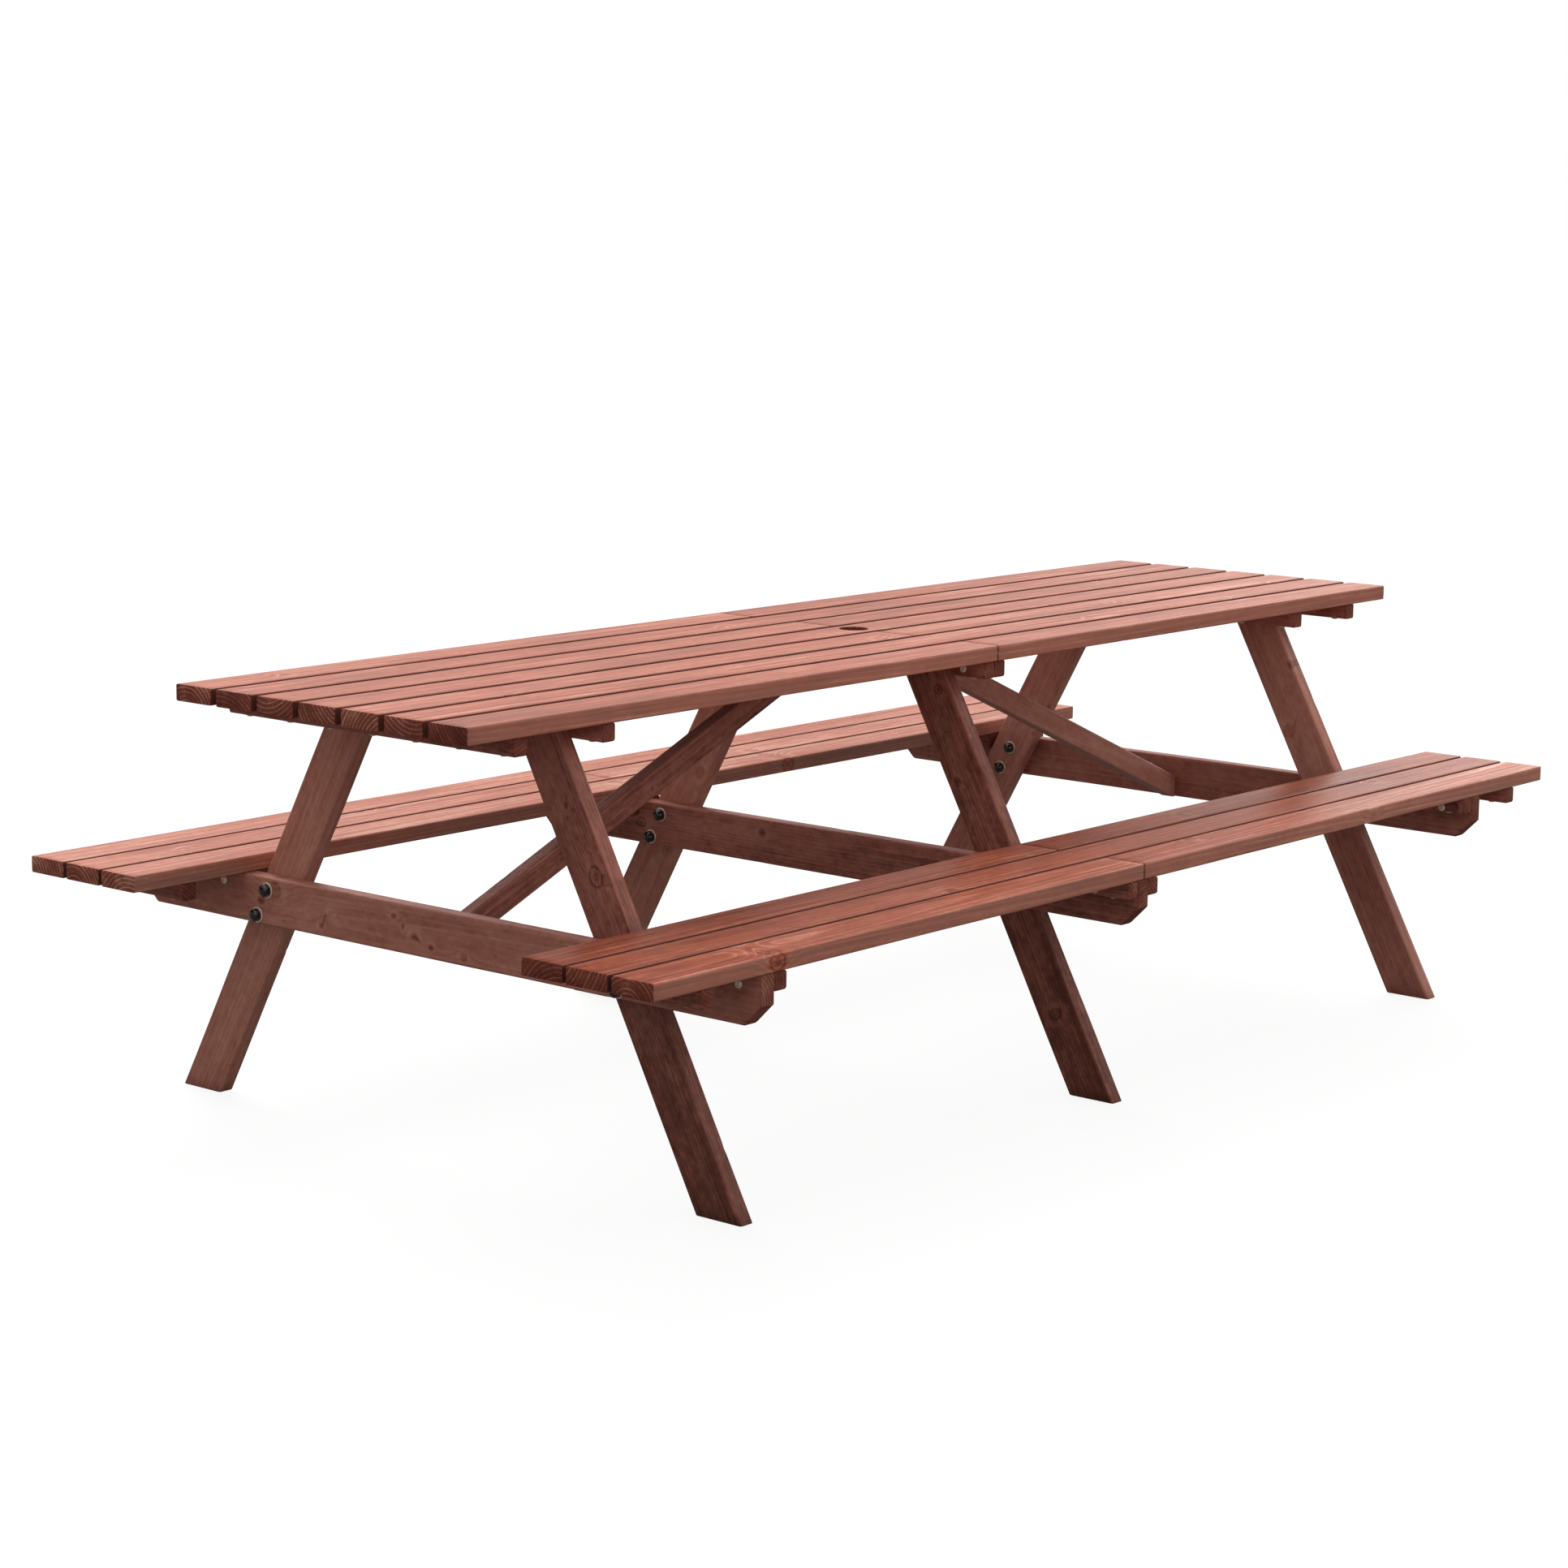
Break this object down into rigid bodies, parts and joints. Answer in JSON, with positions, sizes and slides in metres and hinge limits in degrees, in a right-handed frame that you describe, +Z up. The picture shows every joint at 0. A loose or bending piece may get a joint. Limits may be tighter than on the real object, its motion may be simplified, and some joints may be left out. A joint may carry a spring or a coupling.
{
  "type": "picnic table",
  "caption": "Wooden picnic table: slatted top with an umbrella hole, two fixed slatted benches, bolted A-frame legs, crossbeams and diagonal braces.",
  "frame": {"origin": "on the ground under the middle of the table top", "axes": "+X along the table, -Y towards the front bench, +Z up"},
  "size_m": [2.63, 1.392, 0.76],
  "materials": {
    "stained_wood": "satin stain",
    "stained_frame_wood": "satin stain",
    "black_steel": "gloss",
    "zinc_steel": "bright zinc"
  },
  "bodies": {
    "root": {"back_left_inner_batten": "stained_frame_wood", "back_left_outer_batten": "stained_frame_wood", "back_middle_left_batten": "stained_frame_wood", "back_middle_right_batten": "stained_frame_wood", "back_right_inner_batten": "stained_frame_wood", "back_right_outer_batten": "stained_frame_wood", "back_seat_slat_inner": "stained_wood", "back_seat_slat_middle": "stained_wood", "back_seat_slat_outer": "stained_wood", "front_left_inner_batten": "stained_frame_wood", "front_left_outer_batten": "stained_frame_wood", "front_middle_left_batten": "stained_frame_wood", "front_middle_right_batten": "stained_frame_wood", "front_right_inner_batten": "stained_frame_wood", "front_right_outer_batten": "stained_frame_wood", "front_seat_slat_inner_left": "stained_wood", "front_seat_slat_inner_right": "stained_wood", "front_seat_slat_middle": "stained_wood", "front_seat_slat_outer_left": "stained_wood", "front_seat_slat_outer_right": "stained_wood", "left_back_leg": "stained_frame_wood", "left_back_lower_bolt": "black_steel", "left_back_upper_bolt": "black_steel", "left_brace": "stained_frame_wood", "left_crossbeam": "stained_frame_wood", "left_front_leg": "stained_frame_wood", "left_front_lower_bolt": "black_steel", "left_front_upper_bolt": "black_steel", "left_inner_cleat": "stained_frame_wood", "left_outer_cleat": "stained_frame_wood", "middle_back_leg": "stained_frame_wood", "middle_back_lower_bolt": "black_steel", "middle_back_upper_bolt": "black_steel", "middle_crossbeam": "stained_frame_wood", "middle_front_leg": "stained_frame_wood", "middle_front_lower_bolt": "black_steel", "middle_front_upper_bolt": "black_steel", "middle_left_cleat": "stained_frame_wood", "middle_right_cleat": "stained_frame_wood", "right_back_leg": "stained_frame_wood", "right_back_lower_bolt": "black_steel", "right_back_upper_bolt": "black_steel", "right_brace": "stained_frame_wood", "right_crossbeam": "stained_frame_wood", "right_front_leg": "stained_frame_wood", "right_front_lower_bolt": "black_steel", "right_front_upper_bolt": "black_steel", "right_inner_cleat": "stained_frame_wood", "right_outer_cleat": "stained_frame_wood", "top_slat_1_left": "stained_wood", "top_slat_1_right": "stained_wood", "top_slat_2": "stained_wood", "top_slat_3_left": "stained_wood", "top_slat_3_right": "stained_wood", "top_slat_4": "stained_wood", "top_slat_5_left": "stained_wood", "top_slat_5_right": "stained_wood", "top_slat_6": "stained_wood", "top_slat_7_left": "stained_wood", "top_slat_7_right": "stained_wood"}
  },
  "joints": []
}
